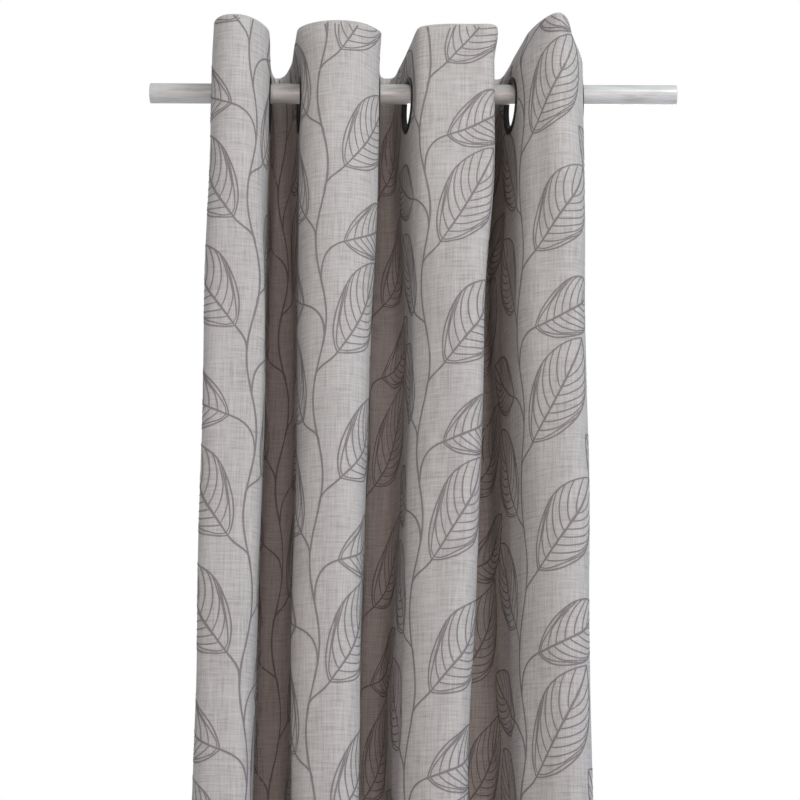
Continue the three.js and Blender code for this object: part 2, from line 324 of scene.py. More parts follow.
def unevenness(u, z):
    free = eased((ringDistance(u, z) - stillness["ring"]) / stillness["ringEase"])
    below = eased((topEdge - z) / stillness["headerEase"])
    rise = np.zeros(np.broadcast(u, z).shape)
    for r in ripples:
        phase = 2 * np.pi * (u / r["across"] + z / r["down"]) + r["start"]
        rise = rise + r["size"] * np.sin(phase)
    rise = rise * mix(stillness["headerShare"], 1, below)
    for c in creases:
        share = (c["from"] - z) / (c["from"] - c["to"])
        along = eased(share * creaseForm["startEase"]) * eased((1 - share) * creaseForm["endEase"])
        swing = np.sin(creaseForm["swing"] * share + creaseForm["swingStart"])
        middle = c["at"] + c["drift"] * swing
        rise = rise + c["rise"] * along * np.exp(-(((u - middle) / c["width"]) ** 2))
    for i in range(eyelet["count"]):
        du, dz = u - eyeletStation(i), z + eyelet["drop"]
        r = np.hypot(du, dz)
        angle = np.arctan2(du, -dz)
        start = eased((r - puckers["start"]) / puckers["startEase"])
        spread = start * np.exp(-np.maximum(r - puckers["full"], 0) / puckers["fade"])
        wave = np.cos(puckers["count"] * angle + puckers["turn"] * i)
        reach = eased((puckers["reach"] - np.abs(angle)) / puckers["reachEase"])
        rise = rise + puckers["rise"] * spread * wave * reach
    return rise * free


# the surface of the cloth as one table: stations across, heights down, closer near the rod
surface = {
    "acrossStep": 2.0,
    "fineStep": 4.0,
    "fineFoot": -130,
    "coarseTop": -132,
    "coarseStep": 9.0,
    "lastCell": 1.000001,  # keeps the last station and height inside a cell
}


def clothTable():
    across = np.arange(0, panel["width"] + 1, surface["acrossStep"])
    fine = np.arange(topEdge, surface["fineFoot"], -surface["fineStep"])
    coarse = np.arange(surface["coarseTop"], hemLine, -surface["coarseStep"])
    heights = np.concatenate([fine, coarse, [hemLine]])
    x, y = wholePlan(heights)
    stretch = np.hypot(np.diff(x, axis=1), np.diff(y, axis=1))
    gone = np.hstack([np.zeros((len(heights), 1)), np.cumsum(stretch, axis=1)])
    points = np.zeros((len(heights), len(across), 3))
    for row in range(len(heights)):
        stations = across * gone[row, -1] / panel["width"]
        points[row, :, 0] = np.interp(stations, gone[row], x[row])
        points[row, :, 1] = np.interp(stations, gone[row], y[row])
    points[:, :, 2] = heights[:, None]
    along = np.gradient(points[:, :, :2], axis=1)
    along /= np.linalg.norm(along, axis=2, keepdims=True)
    rise = unevenness(across[None, :], heights[:, None])
    points[:, :, 0] += along[:, :, 1] * rise
    points[:, :, 1] -= along[:, :, 0] * rise
    acrossStep = np.gradient(points, axis=1)
    downStep = np.gradient(points, heights, axis=0)
    normals = np.cross(acrossStep, downStep)
    normals /= np.linalg.norm(normals, axis=2, keepdims=True)
    return across, heights, points, normals


tableAcross, tableHeights, tablePoints, tableNormals = clothTable()
print("stage: cloth surface", tablePoints.shape)


def onCloth(u, z, offset):
    # the place of flat cloth coordinates on the hanging cloth, raised towards the printed side
    u, z = np.asarray(u, float), np.asarray(z, float)
    column = np.clip(u / surface["acrossStep"], 0, len(tableAcross) - surface["lastCell"])
    row = np.interp(-z, -tableHeights, np.arange(len(tableHeights)))
    row = np.clip(row, 0, len(tableHeights) - surface["lastCell"])
    c, r = column.astype(int), row.astype(int)
    fc, fr = (column - c)[:, None], (row - r)[:, None]

    def sample(t):
        return mix(mix(t[r, c], t[r, c + 1], fc), mix(t[r + 1, c], t[r + 1, c + 1], fc), fr)

    normal = sample(tableNormals)
    normal /= np.linalg.norm(normal, axis=1, keepdims=True)
    return sample(tablePoints) + normal * np.broadcast_to(offset, u.shape)[:, None], normal


allSmooth = 180  # the angle at which no edge is sharp


def newPiece(name, vertices, faces, material, smoothAngle, uv=None, normals=None):
    mesh = bpy.data.meshes.new(name)
    mesh.from_pydata(np.asarray(vertices).tolist(), [], [list(map(int, f)) for f in faces])
    mesh.validate()
    if uv is not None:
        layer = mesh.uv_layers.new(name="clothMap")
        corner = np.zeros(len(mesh.loops), np.int32)
        mesh.loops.foreach_get("vertex_index", corner)
        layer.uv.foreach_set("vector", np.asarray(uv, np.float32)[corner].ravel())
    mesh.polygons.foreach_set("use_smooth", [True] * len(mesh.polygons))
    if smoothAngle < allSmooth:
        mesh.set_sharp_from_angle(angle=math.radians(smoothAngle))
    if normals is not None:
        mesh.normals_split_custom_set_from_vertices(np.asarray(normals).tolist())
    mesh.materials.append(material)
    piece = bpy.data.objects.new(name, mesh)
    bpy.context.scene.collection.objects.link(piece)
    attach(piece, "root")
    return piece


def newMaterial(name):
    material = bpy.data.materials.new(name)
    material.use_nodes = True
    nodes, links = material.node_tree.nodes, material.node_tree.links
    nodes.clear()
    shader = nodes.new("ShaderNodeBsdfPrincipled")
    output = nodes.new("ShaderNodeOutputMaterial")
    links.new(shader.outputs["BSDF"], output.inputs["Surface"])
    return material, nodes, links, shader


def setInputs(node, values):
    for name, value in values.items():
        node.inputs[name].default_value = value


def addBump(nodes, links, shader, height, values):
    bump = nodes.new("ShaderNodeBump")
    setInputs(bump, values)
    links.new(height, bump.inputs["Height"])
    links.new(bump.outputs["Normal"], shader.inputs["Normal"])


def stretchedNoise(nodes, links, source, scale, detail=2.0, rough=0.5, at=(0, 0, 0)):
    place = nodes.new("ShaderNodeMapping")
    setInputs(place, {"Scale": scale, "Location": at})
    noise = nodes.new("ShaderNodeTexNoise")
    setInputs(noise, {"Scale": 1.0, "Detail": detail, "Roughness": rough})
    links.new(source, place.inputs["Vector"])
    links.new(place.outputs["Vector"], noise.inputs["Vector"])
    return noise.outputs["Fac"]


def ramp(nodes, links, source, stops):
    node = nodes.new("ShaderNodeValToRGB")
    node.color_ramp.elements[0].position = stops[0][0]
    node.color_ramp.elements[0].color = (*stops[0][1], 1)
    node.color_ramp.elements[1].position = stops[-1][0]
    node.color_ramp.elements[1].color = (*stops[-1][1], 1)
    for position, colour in stops[1:-1]:
        node.color_ramp.elements.new(position).color = (*colour, 1)
    links.new(source, node.inputs["Fac"])
    return node.outputs["Color"]


def sums(nodes, links, a, b, operation="ADD"):
    node = nodes.new("ShaderNodeMath")
    node.operation = operation
    for socket, value in zip(node.inputs, (a, b)):
        if isinstance(value, (int, float)):
            socket.default_value = value
        else:
            links.new(value, socket)
    return node.outputs["Value"]


# streaks of uneven thread: scale in each direction of the flat cloth, detail, roughness and place
weave = {
    "warpPitch": 0.9,  # threads down the cloth
    "weftPitch": 1.0,
    "threadRun": 120,
    "warp": ((760, 34, 1), 2.0, 0.6),
    "weft": ((46, 720, 1), 2.0, 0.6, (3, 7, 0)),
    "slubDown": ((340, 14, 1), 1.0, 0.5, (11, 2, 0)),
    "slubAcross": ((24, 330, 1), 1.0, 0.5, (5, 13, 0)),
    "cloud": ((14, 9, 1), 2.0, 0.5, (1, 4, 0)),
    "threadShare": 0.33,
    "slubShare": 0.13,
    "cloudShare": 0.08,
}


def weaveNodes(nodes, links):
    flat = nodes.new("ShaderNodeUVMap")
    flat.uv_map = "clothMap"
    source = flat.outputs["UV"]

    def noise(name):
        return stretchedNoise(nodes, links, source, *weave[name])

    warp, weft = noise("warp"), noise("weft")
    slubDown, slubAcross = noise("slubDown"), noise("slubAcross")
    cloud = noise("cloud")
    thread = sums(nodes, links, warp, weft)
    slub = sums(nodes, links, slubDown, slubAcross)
    threadTone = sums(nodes, links, thread, weave["threadShare"], "MULTIPLY")
    slubTone = sums(nodes, links, slub, weave["slubShare"], "MULTIPLY")
    tone = sums(nodes, links, threadTone, slubTone)
    cloudTone = sums(nodes, links, cloud, weave["cloudShare"], "MULTIPLY")
    return source, warp, weft, sums(nodes, links, tone, cloudTone)


clothFinish = {
    "tones": [
        (0.36, (0.42, 0.378, 0.35)),
        (0.5, (0.60, 0.556, 0.522)),
        (0.64, (0.71, 0.665, 0.63)),
    ],
    "surface": {
        "Roughness": 0.92,
        "Specular IOR Level": 0.18,
        "Sheen Weight": 0.12,
        "Sheen Roughness": 0.6,
    },
    "bump": {"Strength": 0.35, "Distance": 0.0006},
}


def clothMaterial():
    material, nodes, links, shader = newMaterial("slubCloth")
    source, warp, weft, tone = weaveNodes(nodes, links)
    links.new(ramp(nodes, links, tone, clothFinish["tones"]), shader.inputs["Base Color"])
    setInputs(shader, clothFinish["surface"])
    run = weave["threadRun"]
    fineWarp = stretchedNoise(nodes, links, source, (1000 / weave["warpPitch"], run, 1), 1.0)
    fineWeft = stretchedNoise(nodes, links, source, (run, 1000 / weave["weftPitch"], 1), 1.0)
    fine = sums(nodes, links, fineWarp, fineWeft)
    height = sums(nodes, links, fine, sums(nodes, links, warp, weft))
    addBump(nodes, links, shader, height, clothFinish["bump"])
    return material


inkFinish = {
    "tones": [
        (0.38, (0.29, 0.255, 0.252)),
        (0.56, (0.29, 0.255, 0.252)),
        (0.66, (0.44, 0.395, 0.385)),
    ],
    "surface": {"Roughness": 0.9, "Specular IOR Level": 0.15},
    "bump": {"Strength": 0.25, "Distance": 0.0005},
}


def inkMaterial():
    # the print takes the threads' unevenness: it thins where a thread stands proud
    material, nodes, links, shader = newMaterial("leafInk")
    _, warp, weft, tone = weaveNodes(nodes, links)
    links.new(ramp(nodes, links, tone, inkFinish["tones"]), shader.inputs["Base Color"])
    setInputs(shader, inkFinish["surface"])
    addBump(nodes, links, shader, sums(nodes, links, warp, weft), inkFinish["bump"])
    return material


threadFinish = {
    "twist": ((1500, 1500, 1), 1.0),
    "tones": [(0.35, (0.48, 0.45, 0.43)), (0.65, (0.62, 0.59, 0.57))],
    "surface": {"Roughness": 0.7},
}


def stitchMaterial():
    material, nodes, links, shader = newMaterial("hemThread")
    flat = nodes.new("ShaderNodeUVMap")
    flat.uv_map = "clothMap"
    twist = stretchedNoise(nodes, links, flat.outputs["UV"], *threadFinish["twist"])
    links.new(ramp(nodes, links, twist, threadFinish["tones"]), shader.inputs["Base Color"])
    setInputs(shader, threadFinish["surface"])
    return material


eyeletFinish = {
    "wear": ((260, 260, 260), 3.0),
    "tones": [(0.3, (0.010, 0.010, 0.011)), (0.7, (0.022, 0.021, 0.021))],
    "roughness": [(0.3, (0.30,) * 3), (0.7, (0.42,) * 3)],
    "surface": {"Metallic": 0.35},
}


def eyeletMaterial():
    material, nodes, links, shader = newMaterial("blackEyelet")
    place = nodes.new("ShaderNodeTexCoord")
    wear = stretchedNoise(nodes, links, place.outputs["Object"], *eyeletFinish["wear"])
    links.new(ramp(nodes, links, wear, eyeletFinish["tones"]), shader.inputs["Base Color"])
    links.new(ramp(nodes, links, wear, eyeletFinish["roughness"]), shader.inputs["Roughness"])
    setInputs(shader, eyeletFinish["surface"])
    return material


rodFinish = {
    "wide": ((26, 180, 180), 3.0, 0.55),
    "fine": ((40, 900, 900), 2.0, 0.6, (0.3, 0.1, 0)),
    "wideShare": 0.7,
    "fineShare": 0.3,
    # from the open grain to the thickest wash
    "tones": [
        (0.36, (0.56, 0.535, 0.50)),
        (0.45, (0.71, 0.69, 0.66)),
        (0.54, (0.80, 0.78, 0.75)),
        (0.7, (0.85, 0.835, 0.81)),
    ],
    "roughness": [(0.3, (0.36,) * 3), (0.7, (0.48,) * 3)],
    "surface": {"Coat Weight": 0.8, "Coat Roughness": 0.16, "Coat IOR": 1.7},
    "bump": {"Strength": 0.08, "Distance": 0.0005},
}


def rodMaterial():
    material, nodes, links, shader = newMaterial("whitewashedWood")
    place = nodes.new("ShaderNodeTexCoord")
    source = place.outputs["Object"]
    wide = stretchedNoise(nodes, links, source, *rodFinish["wide"])
    fine = stretchedNoise(nodes, links, source, *rodFinish["fine"])
    widePart = sums(nodes, links, wide, rodFinish["wideShare"], "MULTIPLY")
    finePart = sums(nodes, links, fine, rodFinish["fineShare"], "MULTIPLY")
    grain = sums(nodes, links, widePart, finePart)
    links.new(ramp(nodes, links, grain, rodFinish["tones"]), shader.inputs["Base Color"])
    links.new(ramp(nodes, links, fine, rodFinish["roughness"]), shader.inputs["Roughness"])
    setInputs(shader, rodFinish["surface"])
    addBump(nodes, links, shader, grain, rodFinish["bump"])
    return material


slubCloth, leafInk, hemThread = clothMaterial(), inkMaterial(), stitchMaterial()
blackEyelet, whitewashedWood = eyeletMaterial(), rodMaterial()

# cells of the cloth's mesh, and the stations and heights of its finer lines
clothCells = {
    "ring": 6,
    "fold": 26,
    "bodyStep": 14.5,
    "holeRings": 3,
    "sideHem": (8, 16),
    "besideHem": (34, 43, 52),
    "aboveRing": (45, 39, 33, 27, 22),
    "belowRing": (-47, -53, -60),
    "bottomHem": (14, 28, 42, 56, 70),
    "sharp": 50,
}


def clothColumns():
    hem, flat = panel["sideHem"], eyelet["flat"]
    ringCells, foldCells = clothCells["ring"], clothCells["fold"]
    side = [0, panel["edgeRound"], *clothCells["sideHem"], hem, hem + panel["hemStep"]]
    side += clothCells["besideHem"]
    columns = list(side)
    for i in range(eyelet["count"]):
        start = eyeletStation(i) - flat
        columns += [start + 2 * flat * k / ringCells for k in range(ringCells)]
        if i < eyelet["count"] - 1:
            foldWidth = eyelet["pitch"] - 2 * flat
            columns += [start + 2 * flat + foldWidth * k / foldCells for k in range(foldCells)]
    columns.append(panel["width"] - sideMargin + flat)
    columns += [panel["width"] - s for s in reversed(side)]
    return np.array(columns, float)


def clothRows():
    flat, middle, cells = eyelet["flat"], -eyelet["drop"], clothCells["ring"]
    headerFoot = topEdge - panel["header"]
    hemTop = hemLine + panel["bottomHem"]
    rows = [topEdge, topEdge - panel["edgeRound"], *clothCells["aboveRing"]]
    rows += [middle + flat - 2 * flat * k / cells for k in range(cells + 1)]
    rows += [*clothCells["belowRing"], headerFoot]
    bodyTop, bodyFoot = headerFoot - panel["hemStep"], hemTop + panel["hemStep"]
    count = round((bodyTop - bodyFoot) / clothCells["bodyStep"])
    rows += list(np.linspace(bodyTop, bodyFoot, count + 1))
    rows += [hemTop, *(hemTop - down for down in clothCells["bottomHem"])]
    rows += [hemLine + panel["edgeRound"], hemLine]
    return np.array(rows, float)


def flatMesh():
    # the sheet in flat cloth coordinates, with a round hole at each eyelet
    columns, rows = clothColumns(), clothRows()
    cells, holeRings = clothCells["ring"], clothCells["holeRings"]
    points = [(u, z) for z in rows for u in columns]
    width = len(columns)
    top = int(np.argmin(np.abs(rows - (eyelet["flat"] - eyelet["drop"]))))
    lefts = [eyeletStation(i) - eyelet["flat"] for i in range(eyelet["count"])]
    patches = [int(np.argmin(np.abs(columns - left))) for left in lefts]
    skipped = {(top + r, c + k) for c in patches for r in range(cells) for k in range(cells)}
    faces = []
    for r in range(len(rows) - 1):
        for c in range(width - 1):
            if (r, c) not in skipped:
                a = r * width + c
                faces.append((a, a + width, a + width + 1, a + 1))
    for i, c in enumerate(patches):
        border = [(top, c + k) for k in range(cells)]
        border += [(top + k, c + cells) for k in range(cells)]
        border += [(top + cells, c + cells - k) for k in range(cells)]
        border += [(top + cells - k, c) for k in range(cells)]
        square = [r * width + k for r, k in border]
        middle = np.array([eyeletStation(i), -eyelet["drop"]])
        outer = square
        for ring in range(1, holeRings + 1):
            inner = []
            for index in square:
                away = np.array(points[index]) - middle
                rim = middle + away / np.linalg.norm(away) * eyelet["hole"]
                points.append(tuple(mix(np.array(points[index]), rim, ring / holeRings)))
                inner.append(len(points) - 1)
            for k in range(len(outer)):
                n = (k + 1) % len(outer)
                faces.append((outer[k], inner[k], inner[n], outer[n]))
            outer = inner
    used = sorted({v for f in faces for v in f})
    renumber = {v: i for i, v in enumerate(used)}
    return np.array([points[v] for v in used]), [tuple(renumber[v] for v in f) for f in faces]


def turnedShare(u, z):
    # 1 where a hem lies behind, 0 on single cloth
    step = panel["hemStep"]
    header = eased((z - (topEdge - panel["header"] - step)) / step)
    bottom = eased((hemLine + panel["bottomHem"] + step - z) / step)
    left = eased((panel["sideHem"] + step - u) / step)
    right = eased((u - (panel["width"] - panel["sideHem"] - step)) / step)
    return np.maximum(np.maximum(header, bottom), np.maximum(left, right))


def makeCloth():
    flat, faces = flatMesh()
    u, z = flat[:, 0], flat[:, 1]
    rim = np.minimum(np.minimum(u, panel["width"] - u), np.minimum(topEdge - z, z - hemLine))
    soft = np.clip(rim / panel["edgeRound"], 0, 1)
    back = mix(panel["backOffset"], panel["turnedOffset"], turnedShare(u, z))
    middle = (panel["faceOffset"] - back) / 2
    edgeFace = mix(middle, panel["faceOffset"], panel["edgeShare"])
    edgeBack = mix(middle, -back, panel["edgeShare"])
    face, _ = onCloth(u, z, mix(edgeFace, panel["faceOffset"], soft))
    wrong, _ = onCloth(u, z, mix(edgeBack, -back, soft))
    count = len(flat)
    allFaces = list(faces) + [tuple(v + count for v in reversed(f)) for f in faces]
    edges = {}
    for f in faces:
        for a, b in zip(f, f[1:] + f[:1]):
            edges[(a, b)] = True
    for a, b in edges:
        if (b, a) not in edges:
            allFaces.append((b, a, a + count, b + count))
    places = np.vstack([face, wrong]) * mm
    uv = np.vstack([flat, flat]) * mm
    sharp = clothCells["sharp"]
    piece = newPiece(
        "curtain_cloth_panel", places, allFaces, slubCloth, sharp, uv=uv
    )
    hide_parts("curtain_cloth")
    return piece


cloth = makeCloth()
print("stage: cloth", len(cloth.data.polygons), "faces")

# the leaf print is drawn as fine ribbons over the printed face
leafPrint = {
    "repeat": 306,
    "stemWave": 6,
    "lift": 0.3,  # above the printed face, clear of the facets
    "outline": 1.35,
    "midrib": 2.0,
    "vein": 1.05,
    "stem": 1.7,
    "step": 3.4,
    "veins": 8,
    "overrun": 20,
    "stemStep": 6.0,
    "repeatsBelow": 10,
    "edgeMargin": 1.6,
    "ringMargin": 0.4,
    "taperRange": (0.02, 0.98),
    "wobble": {"size": 0.12, "across": 0.37, "down": 0.23, "slow": 0.11},
    # width at the ends of each kind of line, as a share
    "tips": {"outline": 0.75, "midrib": 0.55, "vein": 0.7, "stem": 1.0, "stalk": 0.9},
}

# the trailing stems: place across the flat cloth, and how high the repeat starts on each
stems = [
    {"at": 36, "foot": 0},
    {"at": 198, "foot": 209},
    {"at": 356, "foot": 112},
    {"at": 511, "foot": 15},
    {"at": 676, "foot": 224},
    {"at": 842, "foot": 127},
    {"at": 1010, "foot": 30},
    {"at": 1176, "foot": 239},
    {"at": 1345, "foot": 142},
]

# the repeat: six leaves on a stem. Rise is a leaf's foot above the foot of the repeat, away is its
# distance from the stem, lean is from upright (left below 0), bend is how far the midrib turns
leafChart = [
    {"rise": 4, "away": 16, "lean": 30, "length": 112, "width": 28, "bend": -14},
    {"rise": 56, "away": 26, "lean": -60, "length": 92, "width": 26, "bend": 30},
    {"rise": 114, "away": 28, "lean": 63, "length": 90, "width": 26, "bend": -32},
    {"rise": 142, "away": 15, "lean": -34, "length": 104, "width": 28, "bend": 12},
    {"rise": 190, "away": 16, "lean": 36, "length": 104, "width": 28, "bend": -18},
    {"rise": 248, "away": 15, "lean": -31, "length": 108, "width": 28, "bend": 10},
]

# half width of a leaf along its length: its outer half is fullest towards the tip
rimOuter = [
    (0, 0),
    (0.05, 0.26),
    (0.16, 0.6),
    (0.32, 0.86),
    (0.52, 1.0),
    (0.68, 0.96),
    (0.82, 0.72),
    (0.93, 0.36),
    (1, 0),
]
rimInner = [
    (0, 0),
    (0.05, 0.32),
    (0.15, 0.7),
    (0.3, 0.94),
    (0.46, 1.0),
    (0.62, 0.93),
    (0.77, 0.69),
    (0.9, 0.34),
    (1, 0),
]

# a leaf's veins, as shares of its length and half width, and how its sides differ
leafForm = {
    "bendFrom": 0.35,
    "innerWidth": 0.95,
    "spinePoints": 60,
    "veinPoints": 24,
    "veinStart": (0.03, 0.6),
    "innerEnd": (0.36, 0.9),
    "outerEnd": (0.5, 0.93),
    "veinHurry": 1.25,
    "veinSpread": 1.9,
    "within": (0.7, 0.985),
    "withinEase": 1.5,
}

stalk = {"below": 12, "slant": 0.9, "pull": 0.45, "points": 20}


curvePoints = 12  # between two given points of a soft line
rimScale = (100, 30)  # a rim is evened out at about its real size


def smoothLine(points, step):
    # a soft line through the points, with a point every step
    p = np.array(points, float)
    p = np.vstack([2 * p[0] - p[1], p, 2 * p[-1] - p[-2]])
    line = []
    for i in range(1, len(p) - 2):
        t = np.linspace(0, 1, curvePoints, endpoint=False)[:, None]
        a, b, c, d = p[i - 1], p[i], p[i + 1], p[i + 2]
        square, cube = 2 * a - 5 * b + 4 * c - d, 3 * b - a - 3 * c + d
        line.append(0.5 * (2 * b + (c - a) * t + square * t**2 + cube * t**3))
    return evenLine(np.vstack([*line, p[-2:-1]]), step)


def evenLine(line, step):
    gone = np.concatenate([[0], np.cumsum(np.linalg.norm(np.diff(line, axis=0), axis=1))])
    count = max(int(math.ceil(gone[-1] / step)), 2)
    at = np.linspace(0, gone[-1], count + 1)
    return np.stack([np.interp(at, gone, line[:, k]) for k in range(2)], 1)


def softRim(rim):
    length, width = rimScale
    return smoothLine([(t * length, w * width) for t, w in rim], 0.5) / rimScale


rimLines = {"outer": softRim(rimOuter), "inner": softRim(rimInner)}


def leafStrokes(leaf, base):
    # outline, midrib and veins of one leaf, as lines in flat cloth coordinates with their widths
    form, tips = leafForm, leafPrint["tips"]
    side = 1 if leaf["lean"] > 0 else -1
    t = np.linspace(0, 1, form["spinePoints"])
    heading = np.radians(leaf["lean"] + leaf["bend"] * (t - form["bendFrom"]))
    step = np.stack([np.sin(heading), np.cos(heading)], 1) * leaf["length"] / (len(t) - 1)
    spine = np.vstack([[0, 0], np.cumsum(step[:-1], axis=0)]) + base
    outward = np.stack([np.cos(heading), -np.sin(heading)], 1)

    def at(along, across):
        centre = np.stack([np.interp(along, t, spine[:, k]) for k in range(2)], 1)
        normal = np.stack([np.interp(along, t, outward[:, k]) for k in range(2)], 1)
        return centre + normal * np.asarray(across)[:, None]

    lines = {"bold": [], "fine": []}
    for hand in (1, -1):
        inner = hand == side
        rim = rimLines["inner" if inner else "outer"]

        def rimAt(along):
            return np.interp(along, rim[:, 0], rim[:, 1])

        wide = leaf["width"] * (form["innerWidth"] if inner else 1.0)
        lines["bold"].append((at(t, hand * wide * rimAt(t)), leafPrint["outline"], tips["outline"]))
        veins = leafPrint["veins"] if inner else leafPrint["veins"] - 1
        for k in range(veins):
            share = k / (veins - 1)
            start = mix(*form["veinStart"], share)
            end = mix(*form["innerEnd" if inner else "outerEnd"], share)
            r = np.linspace(0, 1, form["veinPoints"])
            along = start + (end - start) * r ** form["veinHurry"]
            across = wide * rimAt(end) * (1 - (1 - r) ** form["veinSpread"])
            limit = wide * rimAt(along) * mix(*form["within"], r ** form["withinEase"])
            across = np.minimum(across, limit)
            lines["fine"].append((at(along, hand * across), leafPrint["vein"], tips["vein"]))
    lines["bold"].append((spine, leafPrint["midrib"], tips["midrib"]))
    return lines


def stemX(stem, z):
    turn = 4 * np.pi * (z - stem["foot"]) / leafPrint["repeat"]
    return stem["at"] + leafPrint["stemWave"] * np.sin(turn)


def stalkLine(stem, base, heading):
    # leaves the stem upright and runs into the leaf's midrib
    aside = abs(base[0] - float(stemX(stem, base[1])))
    foot = base[1] - stalk["slant"] * aside - stalk["below"]
    start = np.array([float(stemX(stem, foot)), foot])
    ahead = np.array([math.sin(heading), math.cos(heading)])
    reach = np.linalg.norm(base - start)
    pull = stalk["pull"]
    a, b, c, d = start, start + (0, pull * reach), base - ahead * pull * reach, base
    t = np.linspace(0, 1, stalk["points"])[:, None]
    return a * (1 - t) ** 3 + 3 * b * t * (1 - t) ** 2 + 3 * c * t**2 * (1 - t) + d * t**3


def printLines():
    bold, fine = [], []
    overrun, tips = leafPrint["overrun"], leafPrint["tips"]
    for stem in stems:
        z = np.arange(hemLine - overrun, topEdge + overrun, leafPrint["stemStep"])
        bold.append((np.stack([stemX(stem, z), z], 1), leafPrint["stem"], tips["stem"]))
        for repeat in range(-leafPrint["repeatsBelow"], 1):
            for leaf in leafChart:
                foot = repeat * leafPrint["repeat"] + stem["foot"] + leaf["rise"]
                side = 1 if leaf["lean"] > 0 else -1
                base = np.array([float(stemX(stem, foot)) + side * leaf["away"], foot])
                lines = leafStrokes(leaf, base)
                bold += lines["bold"]
                fine += lines["fine"]
                heading = math.radians(leaf["lean"] - leafForm["bendFrom"] * leaf["bend"])
                bold.append((stalkLine(stem, base, heading), leafPrint["stem"], tips["stalk"]))
    return bold, fine


def onPanel(line):
    # the stretches of a line that lie on the cloth and not under a ring
    margin = leafPrint["edgeMargin"]
    u, z = line[:, 0], line[:, 1]
    keep = (u > margin) & (u < panel["width"] - margin)
    keep &= (z < topEdge - margin) & (z > hemLine + margin)
    keep &= ringDistance(u, z) > eyelet["outer"] + leafPrint["ringMargin"]
    pieces, start = [], None
    for i, good in enumerate(list(keep) + [False]):
        if good and start is None:
            start = i
        if not good and start is not None:
            if i - start >= 2:
                pieces.append((start, i))
            start = None
    return pieces


def makePrint(name, lines):
    flat, faces = [], []
    wobble = leafPrint["wobble"]
    for line, width, tip in lines:
        line = evenLine(line, leafPrint["step"])
        share = np.clip(np.linspace(0, 1, len(line)), *leafPrint["taperRange"])
        taper = mix(tip, 1, np.sqrt(np.sin(np.pi * share)))
        quick = np.sin(line[:, 0] * wobble["across"] + line[:, 1] * wobble["down"])
        uneven = 1 + wobble["size"] * quick * np.sin(line[:, 1] * wobble["slow"] + 1)
        for start, end in onPanel(line):
            part = line[start:end]
            along = np.gradient(part, axis=0)
            along /= np.linalg.norm(along, axis=1, keepdims=True)
            across = np.stack([-along[:, 1], along[:, 0]], 1)
            half = (width * taper * uneven)[start:end, None] / 2
            first = sum(len(f) for f in flat)
            flat.append(np.stack([part + across * half, part - across * half], 1).reshape(-1, 2))
            for k in range(len(part) - 1):
                a = first + 2 * k
                faces.append((a, a + 1, a + 3, a + 2))
    flat = np.vstack(flat)
    places, normals = onCloth(flat[:, 0], flat[:, 1], panel["faceOffset"] + leafPrint["lift"])
    return newPiece(
        name, places * mm, faces, leafInk, allSmooth, uv=flat * mm, normals=normals
    )


boldLines, fineLines = printLines()
leafOutlines = makePrint("leaf_outlines", boldLines)
leafVeins = makePrint("leaf_veins", fineLines)
print("stage: print", len(leafOutlines.data.polygons), len(leafVeins.data.polygons), "faces")

stitches = {
    "length": 2.7,
    "pitch": 3.6,
    "width": 0.55,
    "inset": 3.0,
    "lift": 0.28,
    "shoulder": 0.7,  # lift beside the middle, as a share
    "endLift": (0.02, 0.06, 0.02),
    "endMargin": 3,
    "lastMargin": 6,
}


def makeStitches():
    # one row of machine stitches near the inner edge of each hem, on both sides of the cloth
    rowsOf = []
    sideAt = panel["sideHem"] - stitches["inset"]
    topAt = hemLine + panel["bottomHem"] - stitches["inset"]
    margin, pitch = stitches["endMargin"], stitches["pitch"]
    down = np.arange(hemLine + margin, topEdge - margin, pitch)
    over = np.arange(margin, panel["width"] - stitches["lastMargin"], pitch)
    for u in (sideAt, panel["width"] - sideAt):
        rowsOf += [((u, z), (u, z + stitches["length"])) for z in down]
    rowsOf += [((u, topAt), (u + stitches["length"], topAt)) for u in over]
    rise = stitches["lift"]
    shoulder = rise * stitches["shoulder"]
    lift = [*stitches["endLift"], shoulder, rise, shoulder, *stitches["endLift"]]
    flat, offsets, faces = [], [], []
    for onFace in (True, False):
        for start, end in rowsOf:
            start, end = np.array(start), np.array(end)
            along = (end - start) / np.linalg.norm(end - start)
            across = np.array([-along[1], along[0]]) * stitches["width"] / 2
            first = len(flat)
            for place in (start, (start + end) / 2, end):
                flat += [place + across, place, place - across]
            seat, side = (panel["faceOffset"], 1) if onFace else (-panel["turnedOffset"], -1)
            offsets += [seat + side * v for v in lift]
            for k in (0, 3):
                for j in (0, 1):
                    a = first + k + j
                    quad = (a, a + 1, a + 4, a + 3)
                    faces.append(quad if onFace else quad[::-1])
    flat = np.array(flat)
    places, _ = onCloth(flat[:, 0], flat[:, 1], np.array(offsets))
    return newPiece(
        "hem_stitching", places * mm, faces, hemThread, allSmooth, uv=flat * mm
    )


hemStitching = makeStitches()
print("stage: stitches", len(hemStitching.data.polygons), "faces")

# rounding of the two halves' sections. A turn is its first and last angle and its points
section = {
    "barrelLip": 0.3,
    "barrelRise": 0.4,
    "underEdge": 0.25,
    "rim": {"radii": (1.0, 0.45), "turn": (-60, 60, 7)},
    "crown": {"radii": (2.3, 0.75), "turn": (35, 145, 9), "shift": 0.1},
    "bore": {"radii": (0.75, 0.8), "turn": (120, 180, 6), "down": 0.95},
    "backLip": 0.3,
    "backRim": {"radii": (0.9, 0.7), "turn": (-90, 0, 7)},
    "backEdge": (0.2, 0.25),
}


def arc(middle, radii, start, end, steps):
    turn = np.radians(np.linspace(start, end, steps))
    return [(middle[0] + radii[0] * math.cos(a), middle[1] + radii[1] * math.sin(a)) for a in turn]


